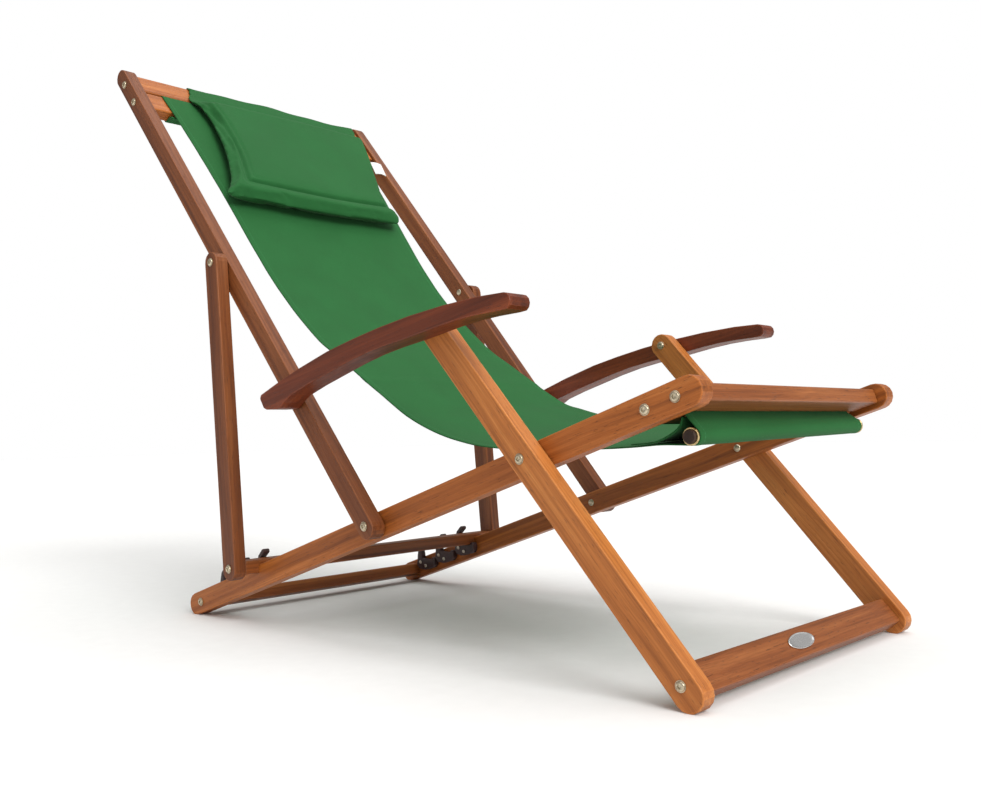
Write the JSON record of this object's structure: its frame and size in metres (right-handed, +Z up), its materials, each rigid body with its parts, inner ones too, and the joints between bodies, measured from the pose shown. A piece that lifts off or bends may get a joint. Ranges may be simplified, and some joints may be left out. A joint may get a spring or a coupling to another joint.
{
  "type": "folding deck chair",
  "caption": "Folding wooden deck chair with a fabric sling, headrest pillow, armrests, and a hooked prop that sets the back's slope.",
  "frame": {"origin": "on the floor under the middle of the chair's bounding box", "axes": "+X forward, the way the sitter faces; +Y the sitter's left; +Z up"},
  "size_m": [1.14, 0.61, 0.9207],
  "materials": {
    "oiled_wood": "oiled hardwood, satin",
    "dark_wood": "darker oiled hardwood, satin",
    "bolt_steel": "zinc-plated steel",
    "hook_metal": "dark brown coated metal",
    "brass_ring": "plain brass",
    "green_fabric": "closely woven green canvas",
    "dowel_wood": "dark stained dowel",
    "badge_metal": "brushed blank plate"
  },
  "bodies": {
    "seat_frame": {"seat_rail_left": "oiled_wood", "seat_rail_right": "oiled_wood", "front_crossbar": "oiled_wood", "second_crossbar": "oiled_wood", "rear_foot_crossbar": "oiled_wood", "rear_foot_screw_left": "bolt_steel", "rear_foot_screw_right": "bolt_steel", "front_bar_screw_left": "bolt_steel", "front_bar_screw_right": "bolt_steel", "second_bar_screw_left": "bolt_steel", "second_bar_screw_right": "bolt_steel", "back_pivot_bolt_left": "bolt_steel", "back_pivot_bolt_right": "bolt_steel", "leg_pivot_bolt_left": "bolt_steel", "leg_pivot_bolt_right": "bolt_steel", "prop_hook_1_left": "hook_metal", "prop_hook_1_right": "hook_metal", "prop_hook_2_left": "hook_metal", "prop_hook_2_right": "hook_metal", "prop_hook_3_left": "hook_metal", "prop_hook_3_right": "hook_metal", "front_dowel": "dowel_wood", "dowel_ring_left": "brass_ring", "dowel_ring_right": "brass_ring", "sling_seat": "green_fabric", "sling_sleeve": "green_fabric", "sling_middle": "green_fabric"},
    "back_frame": {"back_upright_left": "oiled_wood", "back_upright_right": "oiled_wood", "upper_top_crossbar": "oiled_wood", "lower_top_crossbar": "oiled_wood", "upper_top_screw_left": "bolt_steel", "upper_top_screw_right": "bolt_steel", "lower_top_screw_left": "bolt_steel", "lower_top_screw_right": "bolt_steel", "prop_pivot_bolt_left": "bolt_steel", "prop_pivot_bolt_right": "bolt_steel", "arm_rear_bolt_left": "bolt_steel", "arm_rear_bolt_right": "bolt_steel", "sling_back": "green_fabric", "headrest_pillow": "green_fabric", "headrest_flap": "green_fabric"},
    "leg_frame": {"leg_left": "oiled_wood", "leg_right": "oiled_wood", "leg_crossbar": "oiled_wood", "leg_bar_screw_left": "bolt_steel", "leg_bar_screw_right": "bolt_steel", "arm_front_bolt_left": "bolt_steel", "arm_front_bolt_right": "bolt_steel", "badge_plate": "badge_metal"},
    "prop_frame": {"prop_left": "oiled_wood", "prop_right": "oiled_wood", "prop_crossbar": "oiled_wood", "prop_bar_screw_left": "bolt_steel", "prop_bar_screw_right": "bolt_steel"},
    "armrest_left": {"armrest_left": "dark_wood"},
    "armrest_right": {"armrest_right": "dark_wood"}
  },
  "joints": [
    {"name": "back_fold", "type": "hinge", "parent": "seat_frame", "child": "back_frame", "pos_m": [0.0652, 0, 0.163], "axis": [0, 1, 0], "range_deg": [0, 75], "deforming": ["sling_middle"]},
    {"name": "leg_fold", "type": "hinge", "parent": "seat_frame", "child": "leg_frame", "pos_m": [0.3372, 0, 0.252], "axis": [0, 1, 0], "range_deg": [0, 75]},
    {"name": "prop_swing", "type": "hinge", "parent": "back_frame", "child": "prop_frame", "pos_m": [-0.2528, 0, 0.5475], "axis": [0, 1, 0], "range_deg": [-22.5, 0]},
    {"name": "arm_swing_left", "type": "hinge", "parent": "back_frame", "child": "armrest_left", "pos_m": [-0.0793, 0, 0.3265], "axis": [0, 1, 0], "range_deg": [-75, 0]},
    {"name": "arm_swing_right", "type": "hinge", "parent": "back_frame", "child": "armrest_right", "pos_m": [-0.0793, 0, 0.3265], "axis": [0, 1, 0], "range_deg": [-75, 0]}
  ],
  "couplings": [
    {"joint": "leg_fold", "follows": "back_fold", "ratio": 1},
    {"joint": "prop_swing", "follows": "back_fold", "ratio": -0.3},
    {"joint": "arm_swing_left", "follows": "back_fold", "ratio": -1},
    {"joint": "arm_swing_right", "follows": "back_fold", "ratio": -1}
  ]
}
